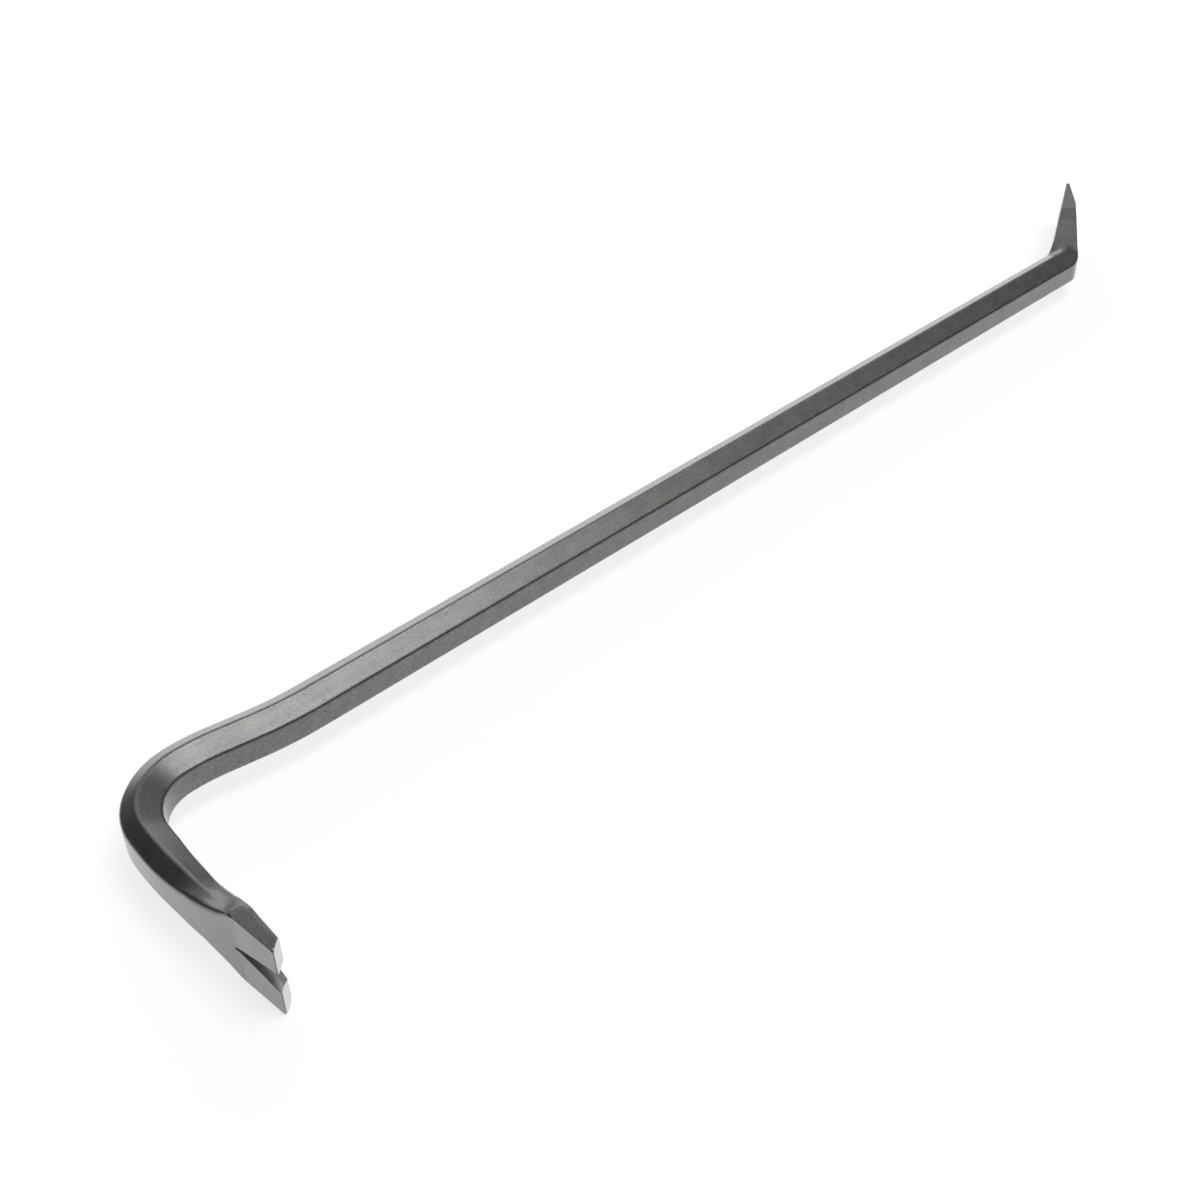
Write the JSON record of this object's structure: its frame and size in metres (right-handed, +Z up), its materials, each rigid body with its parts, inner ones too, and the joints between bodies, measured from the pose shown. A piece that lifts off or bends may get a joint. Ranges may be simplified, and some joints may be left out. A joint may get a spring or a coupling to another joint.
{
  "type": "pry bar",
  "caption": "Forged hexagonal wrecking bar with a slotted gooseneck claw at one end and a cranked chisel bending the other way at the other.",
  "frame": {"origin": "centre of the footprint box, at the level of the lowest point, with the bar lying on its side", "axes": "+X along the shaft towards the claw, +Y the way the claw's leg points from the shaft, +Z up across the claw's width"},
  "size_m": [0.7464, 0.1636, 0.034],
  "materials": {
    "painted_steel": "satin dark grey lacquer over forged steel"
  },
  "bodies": {
    "root": {"forged_bar": "painted_steel"}
  },
  "joints": []
}
